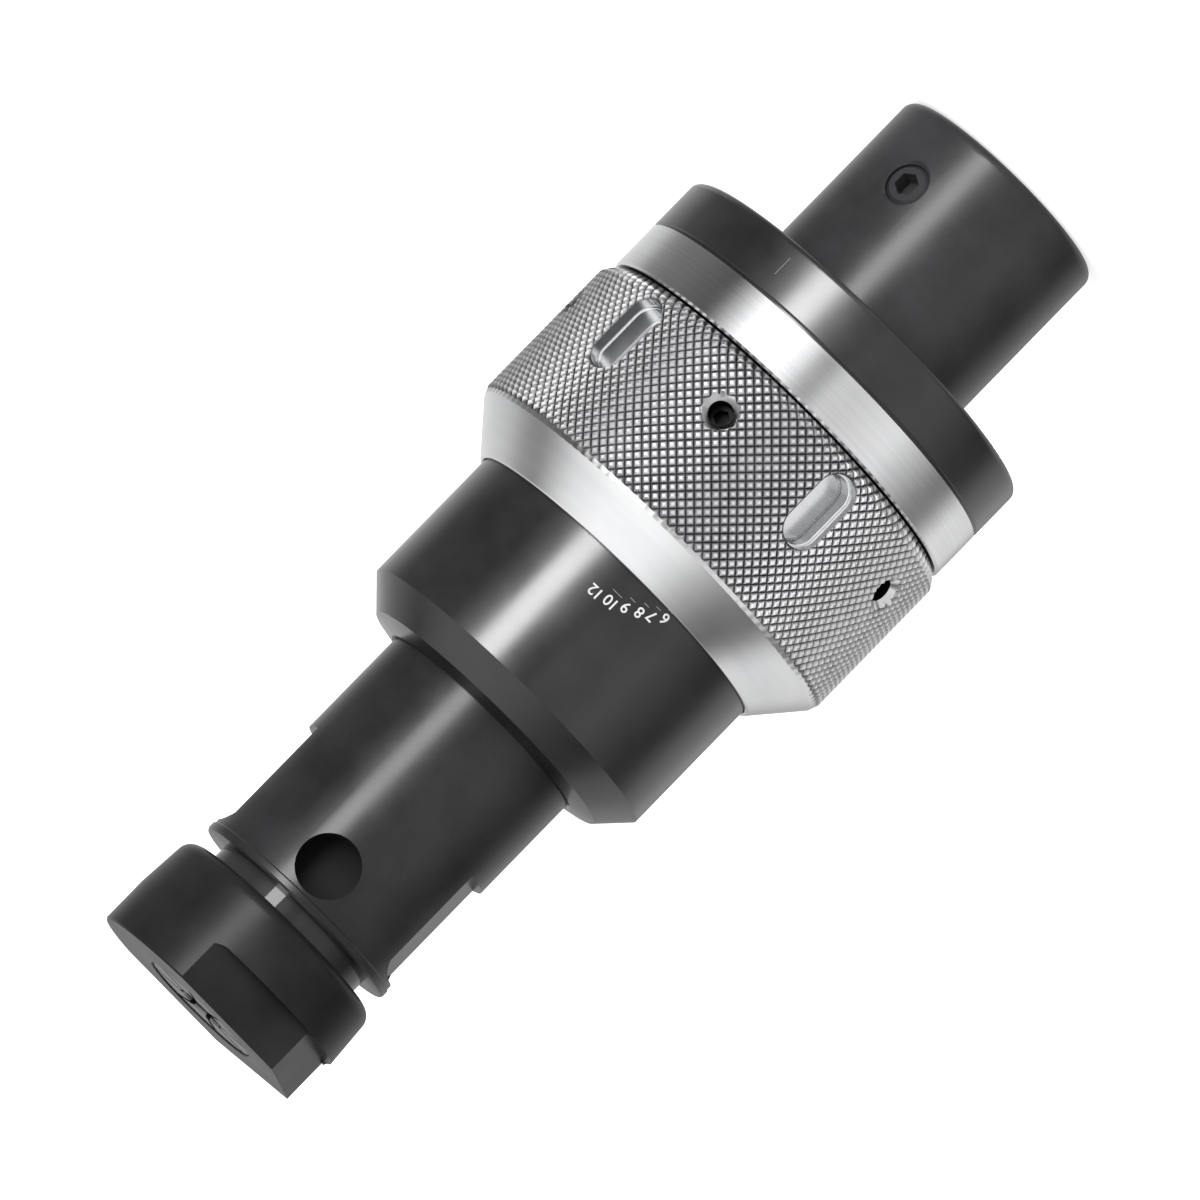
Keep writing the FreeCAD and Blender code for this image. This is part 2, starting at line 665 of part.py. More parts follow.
def collet_barrel():
    """The barrel with its stem behind, a threaded nose in front, and the collet's taper inside."""
    lip = 0.2
    lip_back = BARREL_FRONT - 1.1
    lip_front = BARREL_FRONT - 0.3
    thread_back = NUT_BACK + 0.9
    thread_chamfer = 0.5
    thread_front = NOSE_FRONT - thread_chamfer
    taper_back = 125.0
    relief = 8.6
    relief_back = 119.5
    cavity = 7.3
    cavity_back = 110.0
    shape = turned(
        [
            (0, COLLAR_SCREW_HOLE_FRONT),
            (COLLAR_SCREW_RADIUS, COLLAR_SCREW_HOLE_FRONT),
            (COLLAR_SCREW_RADIUS, STEM_BACK),
            (STEM_RADIUS, STEM_BACK),
            (STEM_RADIUS, SPRING_POCKET_FLOOR),
            (SPRING_POCKET_RADIUS, SPRING_POCKET_FLOOR),
            (SPRING_POCKET_RADIUS, BARREL_BACK),
            (BARREL_RADIUS, BARREL_BACK),
            (BARREL_RADIUS, lip_back - lip),
            (BARREL_RADIUS + lip, lip_back),
            (BARREL_RADIUS + lip, lip_front),
            (BARREL_RADIUS, BARREL_FRONT),
            (NOSE_RADIUS, BARREL_FRONT),
            (NOSE_RADIUS, thread_back),
        ]
        + thread_outline(NOSE_RADIUS, NOSE_PITCH, NOSE_THREAD_DEPTH, thread_back, thread_front)
        + [
            (NOSE_RADIUS, thread_front),
            (NOSE_RADIUS - thread_chamfer, NOSE_FRONT),
            (collet_radius(NOSE_FRONT) + SNUG, NOSE_FRONT),
            (collet_radius(taper_back) + SNUG, taper_back),
            (relief, taper_back),
            (relief, relief_back),
            (cavity, relief_back),
            (cavity, cavity_back),
            (0, cavity_back),
        ]
    )
    middle = (BARREL_FLAT_BACK + BARREL_FLAT_FRONT) / 2.0
    flat = flat_cutter(BARREL_FLAT_APOTHEM, 7.6, BARREL_FLAT_BACK, BARREL_FLAT_FRONT, corner=4.0)
    flat = upside_down(flat, middle)
    hole_end = BARREL_RADIUS + OVERRUN
    hole = radial(SPANNER_HOLE_RADIUS, SPANNER_HOLE_FLOOR, hole_end, SPANNER_HOLE_HEIGHT)
    key_seat = slab(3.0, FLOAT_KEY_WIDTH, FLOAT_KEY_BACK, FLOAT_KEY_FRONT, FLOAT_KEY_FLOOR)
    cuts = around(flat, BARREL_FLAT_COUNT, BARREL_FLAT_ANGLE)
    cuts += around(key_seat, FLOAT_KEY_COUNT, FLOAT_KEY_ANGLE)
    cuts.append(spun(hole, SPANNER_HOLE_ANGLE))
    return shape.cut(cuts)


def float_keys():
    length = 3.1
    width = FLOAT_KEY_WIDTH - 2.0 * SNUG
    key = slab(length, width, FLOAT_KEY_BACK + SNUG, FLOAT_KEY_FRONT - SNUG, FLOAT_KEY_FLOOR + SNUG)
    return Part.makeCompound(around(key, FLOAT_KEY_COUNT, FLOAT_KEY_ANGLE))


def stem_collar():
    return tube(COLLAR_RADIUS, COLLAR_SCREW_RADIUS + LOOSE, COLLAR_BACK, STEM_BACK)


def collar_screw():
    head_radius = 5.0
    head_back = COLLAR_BACK - 5.0
    tip_room = 2.0
    head = cylinder(head_radius, head_back, COLLAR_BACK)
    screw = head.fuse(cylinder(COLLAR_SCREW_RADIUS - FIT, COLLAR_BACK, COLLAR_SCREW_HOLE_FRONT - tip_room))
    socket = hexagon(across_flats=5.0, depth=3.0)
    socket.translate(FreeCAD.Vector(0, 0, head_back))
    return screw.cut(socket)


def tension_spring():
    return coil_spring(8.4, SPRING_WIRE, STEM_BACK + LOOSE, HUB_BACK - LOOSE, turns=4.5)


def compression_spring():
    front = SPRING_POCKET_FLOOR - LOOSE
    return coil_spring(8.75, SPRING_WIRE, HUB_FLANGE_FRONT + LOOSE, front, turns=3.5)


# --- collet and nut ---------------------------------------------------------------------------------
def spring_collet():
    """A collet slit from both ends, with a groove near the front for the ejector ring."""
    groove = 9.6
    groove_back = 144.6
    groove_front = 145.7
    groove_slope = 0.2
    face = 8.6
    face_edge = 0.15
    mouth = 0.3
    slit_inner = 2.0
    front_slit_back = COLLET_BACK + 4.0
    back_slit_front = COLLET_FRONT - 6.0
    shape = turned([
        (COLLET_BORE, COLLET_BACK),
        (collet_radius(COLLET_BACK), COLLET_BACK),
        (COLLET_RADIUS, COLLET_WIDEST),
        (groove, groove_back),
        (groove, groove_front),
        (COLLET_RADIUS, groove_front + groove_slope),
        (COLLET_RADIUS, COLLET_SHOULDER),
        (face, COLLET_FRONT - face_edge),
        (face - face_edge, COLLET_FRONT),
        (COLLET_BORE + mouth, COLLET_FRONT),
        (COLLET_BORE, COLLET_FRONT - mouth),
    ])
    reach = COLLET_RADIUS + OVERRUN
    front_slit = slab(reach, SLIT_WIDTH, front_slit_back, COLLET_FRONT + OVERRUN, slit_inner)
    back_slit = slab(reach, SLIT_WIDTH, COLLET_BACK - OVERRUN, back_slit_front, slit_inner)
    half_turn = 180.0 / COLLET_SLITS
    slits = around(front_slit, COLLET_SLITS, half_turn) + around(back_slit, COLLET_SLITS)
    return shape.cut(slits)


def collet_nut():
    """The nut: a threaded bore, a recess for the ejector ring, and a cone that closes the collet."""
    bore = NOSE_RADIUS + FIT
    back_mouth = 0.5
    back_radius = NUT_RADIUS - 0.6
    back_rounding = 2.0
    edge = 0.25
    mouth = 8.7
    mouth_edge = 0.15
    cone_front = 149.55
    cone_back_radius = 10.56
    recess = 12.05
    recess_back = 144.0
    recess_front = 145.6
    shape = turned([
        (bore + back_mouth, NUT_BACK),
        (back_radius, NUT_BACK),
        (NUT_RADIUS, NUT_FLAT_BACK),
        (NUT_RADIUS, NUT_FRONT - edge),
        (NUT_RADIUS - edge, NUT_FRONT),
        (mouth + mouth_edge, NUT_FRONT),
        (mouth, NUT_FRONT - mouth_edge),
        (mouth, cone_front),
        (cone_back_radius, COLLET_SHOULDER),
        (10.9, recess_front),
        (recess, recess_front),
        (recess, recess_back),
        (bore, recess_back),
        (bore, NUT_BACK + back_mouth),
    ])
    shape = softened(shape, back_radius, NUT_BACK, back_rounding)
    flat = flat_cutter(NUT_FLAT_APOTHEM, 9.6, NUT_FLAT_BACK, NUT_FRONT + OVERRUN, corner=2.5)
    return shape.cut([spun(flat, angle) for angle in NUT_FLAT_ANGLES])


def ejector_ring():
    return tube(12.03, 9.75, 144.72, 145.56)


def main():
    os.makedirs("parts", exist_ok=True)
    makers = (
        drive_shank, drive_flange, arbor_set_screw, flange_screws, drive_dowels, clutch_body, ball_cage,
        cage_keys, core_circlip, sleeve_circlip, clutch_balls, pressure_plate, disc_springs, scale_sleeve,
        barrel_seal, thrust_race_front, hub_thrust_balls, spring_washer, ring_thrust_balls,
        adjusting_ring, ring_lock_screws, driven_hub, thrust_race_rear, collet_barrel, float_keys,
        stem_collar, collar_screw, tension_spring, compression_spring, spring_collet, collet_nut,
        ejector_ring,
    )
    for maker in makers:
        save(maker.__name__, maker())
    save("pilot_bush_rear", pilot_bush(64.8, 70.0))
    save("pilot_bush_front", pilot_bush(77.0, 82.8))


main()
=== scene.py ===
import json
import math

import bpy
from mathutils import Matrix, Vector


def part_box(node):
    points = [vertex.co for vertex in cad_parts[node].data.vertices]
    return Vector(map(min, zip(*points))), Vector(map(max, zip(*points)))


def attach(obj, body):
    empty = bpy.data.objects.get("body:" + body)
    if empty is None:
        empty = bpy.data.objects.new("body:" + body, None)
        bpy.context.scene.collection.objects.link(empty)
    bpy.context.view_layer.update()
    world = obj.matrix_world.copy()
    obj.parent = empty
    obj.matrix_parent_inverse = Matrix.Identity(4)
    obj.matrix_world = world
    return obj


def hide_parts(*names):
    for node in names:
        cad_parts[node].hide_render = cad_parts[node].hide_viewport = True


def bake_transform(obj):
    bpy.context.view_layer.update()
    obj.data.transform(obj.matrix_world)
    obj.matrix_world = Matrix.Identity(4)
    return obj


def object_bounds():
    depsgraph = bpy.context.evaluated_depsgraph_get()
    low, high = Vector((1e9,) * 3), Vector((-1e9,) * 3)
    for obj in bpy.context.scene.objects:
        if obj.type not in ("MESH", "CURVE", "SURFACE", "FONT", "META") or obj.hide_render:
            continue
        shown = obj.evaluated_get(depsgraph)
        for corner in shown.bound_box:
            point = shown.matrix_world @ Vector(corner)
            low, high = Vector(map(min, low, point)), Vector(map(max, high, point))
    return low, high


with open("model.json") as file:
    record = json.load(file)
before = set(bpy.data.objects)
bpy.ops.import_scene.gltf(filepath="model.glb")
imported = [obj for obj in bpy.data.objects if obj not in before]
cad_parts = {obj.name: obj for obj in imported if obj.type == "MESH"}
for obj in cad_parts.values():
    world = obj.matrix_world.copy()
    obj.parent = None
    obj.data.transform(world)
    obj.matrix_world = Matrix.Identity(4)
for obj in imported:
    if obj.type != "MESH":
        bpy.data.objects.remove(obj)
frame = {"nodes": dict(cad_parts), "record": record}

cad_low, cad_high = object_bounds()
nodes = frame["nodes"]
slot_of = {part["node"]: part["material_slot"] for part in frame["record"]["subparts"]}

MM = 0.001

# ---------------------------------------------------------------- sizes read from the frame, in mm
ring_low, ring_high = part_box("adjusting_ring")

RING_BACK = ring_low.z / MM
RING_FRONT = ring_high.z / MM
RING_RADIUS = ring_high.y / MM
SLEEVE_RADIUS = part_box("scale_sleeve")[1].y / MM
FLANGE_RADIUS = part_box("drive_flange")[1].y / MM

# ---------------------------------------------------------------- knurled ring, in mm
KNURL_CELLS = 119
KNURL_ROWS = 29
KNURL_DEPTH = 0.48
KNURL_CREST = 0.33              # half the width of a diamond's flat top, as a share of a cell
KNURL_CREST_SINK = 0.02         # how far the flat tops lie inside the CAD ring
KNURL_END_SINK = 0.6            # the same for the first and last rows, as a share of the depth
KNURL_ROOT = RING_RADIUS - KNURL_DEPTH
RING_SHOULDER = 1.2
RING_SHOULDER_LENGTH = 1.8
KNURL_BACK = RING_BACK + 0.15
KNURL_FRONT = RING_FRONT - 6.9
RING_CONE_TIP = 24.0
RING_BORE = 22.55
SKIRT_BORE = 23.5
WEB_BACK = 57.0
WEB_FRONT = 61.0
WEB_BORE = 13.0
EDGE_BREAK = 0.1
RING_SMOOTH_ANGLE = 24          # degrees

POCKET_COUNT = 5
POCKET_PITCH = 360.0 / POCKET_COUNT
POCKET_ANGLE = 29.3
POCKET_HEIGHT = 50.8
POCKET_LENGTH = 11.5
POCKET_WIDTH = 5.7
POCKET_STEP = 2.2               # depth of the slot's ledge below the ring's surface
POCKET_LEDGE = 0.3
POCKET_FLOOR = 24.8
POCKET_FLOOR_CHAMFER = 0.25
POCKET_LEDGE_CHAMFER = 0.06
POCKET_LEDGE_SLOPE = 0.05
POCKET_MOUTH_CHAMFER = 0.6
SCREW_HOLE = 1.7
SCREW_HOLE_OVERCUT = 0.9        # how far the hole's cutter runs into the bore
SCREW_FLARE = 2.9
SCREW_FLARE_DEPTH = 1.2
SCREW_FLARE_OVERCUT = 0.1
FINISH_MARGIN = 0.05            # tolerances when faces are sorted by their finish
FLARE_MARGIN = 0.03

# ---------------------------------------------------------------- marks, in mm and degrees
MARK_ROOT = 0.08                # how far a mark reaches below the surface that it is on
MARK_HEIGHT = 0.02
NUMERAL_SIZE = 2.15
NUMERAL_SPACING = 0.9
NUMERAL_WEIGHT = 0.02
SCALE_ZERO = -90.0              # the camera's side
TICK_WIDTH = 0.09
TICK_SET_BACK = 0.1
INDEX_LENGTH = 2.9
INDEX_WIDTH = 0.08
INDEX_ANGLE = -63.0
INDEX_HEIGHT = 29.8

# Each row: the number, its angle round the sleeve, its height above the ring, and the height and
# length of its tick, both 0 where there is none.
SCALE = (
    ("6", 19.0, 1.1, 0.0, 0.0),
    ("7", 15.2, 2.1, 0.8, 0.8),
    ("8", 11.7, 2.9, 1.6, 0.8),
    ("9", 7.4, 3.7, 2.4, 0.9),
    ("10", 2.5, 4.6, 3.2, 1.6),
    ("12", -3.3, 5.0, 0.0, 0.0),
)

# ---------------------------------------------------------------- camera and light
CAMERA_DISTANCE = 1.95
CAMERA_ELEVATION = math.radians(6.9)
CAMERA_TURN = math.radians(45.7)
CAMERA_LENS = 451.0
CAMERA_SENSOR = 36.0
CAMERA_TARGET = Vector((0.0, 0.0, 0.0755))

FLOOR_HALF = 6.0
FLOOR_GAP = 0.0002              # metres between the floor and the shank's end

KEY_ANGLE = math.radians(-30.0)     # from the camera's side, growing towards -X
KEY_POWER = 23.0
KEY_WIDTH = 0.3
KEY_LENGTH = 1.2
KEY_DISTANCE = 1.0
KEY_HEIGHT = 0.03

# The tent's light round the horizon by angle, the light above by its slant towards X, and the share
# of the tent's light that comes up from underneath.
TENT = (
    (-180, 0.75), (-170, 0.9), (-150, 0.8), (-138, 0.7), (-124, 0.32), (-108, 0.22), (-92, 0.19),
    (-66, 0.05), (-54, 0.8), (-44, 1.8), (-22, 1.8), (-12, 1.3), (-5, 0.5), (2, 0.35), (10, 0.95),
    (20, 0.8), (35, 0.95), (52, 1.1), (68, 0.68), (88, 0.25), (100, 0.25), (120, 1.0), (150, 0.85),
    (168, 0.42), (180, 0.6),
)
OVERHEAD = (
    (-1.0, 0.12), (-0.6, 0.13), (-0.48, 0.24), (-0.31, 0.6), (-0.2, 0.95), (-0.08, 1.25), (0.0, 1.35),
    (0.35, 1.4), (0.56, 1.1), (1.0, 0.9),
)
BELOW = 0.9


# ---------------------------------------------------------------- building meshes
def new_object(name, data):
    made = bpy.data.objects.new(name, data)
    bpy.context.scene.collection.objects.link(made)
    return made


def polar(radius, angle, height):
    """A point in metres from a radius and height in millimetres and an angle in radians."""
    return (radius * MM * math.cos(angle), radius * MM * math.sin(angle), height * MM)


def smooth_by_angle(mesh, degrees):
    for polygon in mesh.polygons:
        polygon.use_smooth = True
    mesh.set_sharp_from_angle(angle=math.radians(degrees))


def baked_mesh(piece):
    """The piece's mesh with its modifiers applied, or a curve's outline turned into a mesh."""
    bpy.context.view_layer.update()
    result = piece.evaluated_get(bpy.context.evaluated_depsgraph_get())
    return bpy.data.meshes.new_from_object(result)


class Shell:
    """Vertices and faces collected for one mesh."""

    def __init__(self):
        self.points = []
        self.faces = []

    def add(self, point):
        self.points.append(point)
        return len(self.points) - 1

    def ring(self, angles, radius, height):
        return [self.add(polar(radius, angle, height)) for angle in angles]

    def band(self, low, high):
        """Quads between two rings with the same number of points."""
        count = len(low)
        for index in range(count):
            after = (index + 1) % count
            self.faces.append((low[index], low[after], high[after], high[index]))

    def mesh(self, name):
        made = bpy.data.meshes.new(name)
        made.from_pydata(self.points, [], self.faces)
        made.validate()
        made.update()
        return made


def ring_radius(height):
    """Outer radius of the ring, which narrows towards the shank over its shoulder."""
    missing = max(0.0, 1.0 - (height - RING_BACK) / RING_SHOULDER_LENGTH)
    return RING_RADIUS - RING_SHOULDER * missing


def knurled_blank():
    """The adjusting ring as a closed shell, with a diamond knurl round the outside."""
    shell = Shell()
    columns = 2 * KNURL_CELLS
    step = 2.0 * math.pi / columns
    rise = (KNURL_FRONT - KNURL_BACK) / KNURL_ROWS
    valley = {}
    tops = {}

    def corner(column, row):
        """The point in a valley where two grooves cross."""
        key = (column % columns, row)
        if key not in valley:
            height = KNURL_BACK + row * rise
            valley[key] = shell.add(polar(ring_radius(height) - KNURL_DEPTH, key[0] * step, height))
        return valley[key]

    def top(column, row, side):
        """One corner of a diamond's flat top: side 0 to 3 is right, front, left, back."""
        key = (column % columns, row, side)
        if key not in tops:
            across = (KNURL_CREST, 0.0, -KNURL_CREST, 0.0)[side]
            along = (0.0, KNURL_CREST, 0.0, -KNURL_CREST)[side]
            height = KNURL_BACK + (row + along) * rise
            sink = KNURL_END_SINK * KNURL_DEPTH if row in (0, KNURL_ROWS) else KNURL_CREST_SINK
            tops[key] = shell.add(polar(ring_radius(height) - sink, (key[0] + across) * step, height))
        return tops[key]

    for row in range(KNURL_ROWS + 1):
        for column in range(columns):
            if (column + row) % 2 == 0:
                continue
            right = corner(column + 1, row)
            left = corner(column - 1, row)
            if row < KNURL_ROWS:
                front = corner(column, row + 1)
                shell.faces.append((right, front, top(column, row, 1), top(column, row, 0)))
                shell.faces.append((front, left, top(column, row, 2), top(column, row, 1)))
            if row > 0:
                back = corner(column, row - 1)
                shell.faces.append((left, back, top(column, row, 3), top(column, row, 2)))
                shell.faces.append((back, right, top(column, row, 0), top(column, row, 3)))
            flat = [top(column, row, 0)]
            if row < KNURL_ROWS:
                flat.append(top(column, row, 1))
            flat.append(top(column, row, 2))
            if row > 0:
                flat.append(top(column, row, 3))
            shell.faces.append(tuple(flat))

    def rim(row):
        """The knurl's edge at its first or last row, in order round the ring, with the angles."""
        points = []
        angles = []
        for column in range(columns):
            if (column + row) % 2:
                points += [top(column, row, 2), top(column, row, 0)]
                angles += [(column - KNURL_CREST) * step, (column + KNURL_CREST) * step]
            else:
                points.append(corner(column, row))
                angles.append(column * step)
        return points, angles

    back_rim, back_angles = rim(0)
    front_rim, front_angles = rim(KNURL_ROWS)

    cone = (RING_RADIUS - RING_CONE_TIP) / (RING_FRONT - KNURL_FRONT)

    def on_cone(radius):
        """The place on the ring's front cone with this radius."""
        return radius, RING_FRONT - (radius - RING_CONE_TIP) / cone

    outline = [
        on_cone(KNURL_ROOT - KNURL_CREST_SINK),
        on_cone(KNURL_ROOT - EDGE_BREAK),
        on_cone(RING_CONE_TIP + 0.25),
        on_cone(RING_CONE_TIP + 0.15),
        (RING_CONE_TIP, RING_FRONT - 0.03),
        (RING_CONE_TIP - 0.08, RING_FRONT),
        (SKIRT_BORE + EDGE_BREAK, RING_FRONT),
        (SKIRT_BORE, RING_FRONT - EDGE_BREAK),
        (SKIRT_BORE, WEB_FRONT),
        (WEB_BORE, WEB_FRONT),
        (WEB_BORE, WEB_BACK),
        (RING_BORE, WEB_BACK),
        (RING_BORE, RING_BACK),
    ]
    last = front_rim
    for radius, height in outline:
        ring = shell.ring(front_angles, radius, height)
        shell.band(last, ring)
        last = ring
    first = shell.ring(back_angles, ring_radius(RING_BACK) - KNURL_DEPTH - EDGE_BREAK, RING_BACK)
    shell.band(first, back_rim)
    count = len(front_angles)
    shift = min(range(count), key=lambda index: abs(front_angles[index] - back_angles[0]))
    shell.band(last[shift:] + last[:shift], first)
    return shell.mesh("adjusting_ring_blank")


def radial_matrix(angle, radius, height):
    """Places a cutter drawn about its own Z on the ring, with Z outwards and Y along the axis."""
    turn = math.radians(angle)
    outwards = Vector((math.cos(turn), math.sin(turn), 0.0))
    along = Vector((0.0, 0.0, 1.0))
    across = along.cross(outwards)
    place = Matrix((across, along, outwards)).transposed().to_4x4()
    place.translation = outwards * radius * MM + along * height * MM
    return place


def stadium(length, width, segments=20):
    """Outline of a slot with round ends, long side along Y, in millimetres."""
    half = (length - width) / 2.0
    radius = width / 2.0
    points = []
    for side, start in ((1, 0.0), (-1, math.pi)):
        for index in range(segments + 1):
            turn = math.pi * index / segments + start
            points.append((radius * math.cos(turn), side * half + radius * math.sin(turn)))
    return points


def circle(radius, segments=40):
    turns = [2.0 * math.pi * index / segments for index in range(segments)]
    return [(radius * math.cos(turn), radius * math.sin(turn)) for turn in turns]


def add_stack(shell, layers, place):
    """A closed cutter from outlines with equal point counts, each at a height in millimetres."""
    rings = []
    for outline, height in layers:
        rings.append([shell.add(place @ Vector((x * MM, y * MM, height * MM))) for x, y in outline])
    for low, high in zip(rings, rings[1:]):
        shell.band(low, high)
    shell.faces.append(tuple(reversed(rings[0])))
    shell.faces.append(tuple(rings[-1]))


def ring_cutters():
    """One mesh that cuts the spanner slots and the screw holes, one of each in turn round the ring."""
    shell = Shell()
    ledge = RING_RADIUS - POCKET_STEP - POCKET_FLOOR
    mouth = RING_RADIUS - POCKET_FLOOR
    surface = RING_RADIUS - RING_BORE

    def pocket(grow):
        return stadium(POCKET_LENGTH + 2.0 * grow, POCKET_WIDTH + 2.0 * grow)

    slot_layers = [
        (pocket(-POCKET_LEDGE - POCKET_FLOOR_CHAMFER), 0.0),
        (pocket(-POCKET_LEDGE), POCKET_FLOOR_CHAMFER),
        (pocket(-POCKET_LEDGE), ledge - POCKET_LEDGE_CHAMFER),
        (pocket(-POCKET_LEDGE + POCKET_LEDGE_CHAMFER), ledge),
        (pocket(0.0), ledge + POCKET_LEDGE_SLOPE),
    ]
    for grow in (0.0, 0.5, 1.0):
        slot_layers.append((pocket(grow), mouth - POCKET_MOUTH_CHAMFER + grow))
    hole_layers = [
        (circle(SCREW_HOLE), -SCREW_HOLE_OVERCUT),
        (circle(SCREW_HOLE), surface - SCREW_FLARE_DEPTH),
        (circle(SCREW_FLARE), surface + SCREW_FLARE_OVERCUT),
    ]
    for index in range(POCKET_COUNT):
        angle = POCKET_ANGLE + index * POCKET_PITCH
        add_stack(shell, slot_layers, radial_matrix(angle, POCKET_FLOOR, POCKET_HEIGHT))
        angle += POCKET_PITCH / 2.0
        add_stack(shell, hole_layers, radial_matrix(angle, RING_BORE, POCKET_HEIGHT))
    return shell.mesh("ring_cutters")


def cut(piece, cutter):
    """Takes the cutter's solids away from the piece, and applies the result."""
    tool = new_object("cutter", cutter)
    modifier = piece.modifiers.new("cut", "BOOLEAN")
    modifier.object = tool
    modifier.operation = "DIFFERENCE"
    modifier.solver = "EXACT"
    mesh = baked_mesh(piece)
    piece.modifiers.clear()
    piece.data = mesh
    bpy.data.objects.remove(tool)


def wrapped(name, outline, radius, angle, height):
    """A flat outline in millimetres, wrapped round the axis and given a little thickness."""
    shell = Shell()
    turn = math.radians(angle)
    vertices, faces = outline
    lower = []
    upper = []
    for x, y in vertices:
        at = turn + x / radius
        lower.append(shell.add(polar(radius - MARK_ROOT, at, height + y)))
        upper.append(shell.add(polar(radius + MARK_HEIGHT, at, height + y)))
    edges = {}
    for face in faces:
        shell.faces.append(tuple(upper[index] for index in face))
        shell.faces.append(tuple(lower[index] for index in reversed(face)))
        edges.update(dict.fromkeys(zip(face, face[1:] + face[:1])))
    for start, end in edges:
        if (end, start) not in edges:
            shell.faces.append((lower[start], lower[end], upper[end], upper[start]))
    return new_object(name, shell.mesh(name))


def bar(width, height, parts=6):
    """A plain rectangle, cut into short quads so that it follows the curve."""
    vertices = []
    for index in range(parts + 1):
        x = -width / 2.0 + width * index / parts
        vertices += [(x, 0.0), (x, height)]
    faces = [[2 * index, 2 * index + 2, 2 * index + 3, 2 * index + 1] for index in range(parts)]
    return vertices, faces


def numeral(text):
    """Vertices and faces of a number, centred on the origin, in millimetres."""
    curve = bpy.data.curves.new("numeral", "FONT")
    curve.body = text
    curve.size = NUMERAL_SIZE
    curve.align_x = "CENTER"
    curve.resolution_u = 4
    curve.space_character = NUMERAL_SPACING
    curve.offset = NUMERAL_WEIGHT
    holder = new_object("numeral", curve)
    flat = baked_mesh(holder)
    across = [vertex.co.x for vertex in flat.vertices]
    upwards = [vertex.co.y for vertex in flat.vertices]
    middle_x = (min(across) + max(across)) / 2.0
    middle_y = (min(upwards) + max(upwards)) / 2.0
    vertices = [(x - middle_x, y - middle_y) for x, y in zip(across, upwards)]
    faces = [list(polygon.vertices) for polygon in flat.polygons]
    bpy.data.objects.remove(holder)
    return vertices, faces


# ---------------------------------------------------------------- materials
# Cloud values are noise scales per metre. Pitches and reliefs are in metres.
OXIDE_CLOUD = 90.0
OXIDE_PITCH = 0.0005
OXIDE_RELIEF = 0.000003
STEEL_CLOUD = 120.0
STEEL_PITCH = 0.0004
KNURL_CLOUD = 500.0
LATHE_DRIFT = 40.0              # noise scale of the tool marks across the axis, which is coarse
# Painted shade inside the barrel's pin hole: a near-black, rough patch where the recess lies in shade.
HOLE_PAINTED_SHADE_COLOUR = (0.003, 0.003, 0.003)
HOLE_ROUGHNESS = 0.85
HOLE_MARGIN = 0.02 * MM
HOLE_FLOOR = 2.5                # where the hole is darkest, as hole radii from the chuck's axis
HOLE_MOUTH = 3.45               # where the darkening ends, in the same measure
NECK_COLOUR = (0.02, 0.02, 0.021)
NECK_POLISH = 0.22              # how much smoother the rubbed neck is


def fill_ramp(node, stops):
    """Puts colour stops on a ramp node: pairs of a position and a colour, in rising order."""
    elements = node.color_ramp.elements
    elements[0].position = stops[0][0]
    elements[0].color = (*stops[0][1], 1.0)
    elements[-1].position = stops[-1][0]
    elements[-1].color = (*stops[-1][1], 1.0)
    for position, colour in stops[1:-1]:
        elements.new(position).color = (*colour, 1.0)


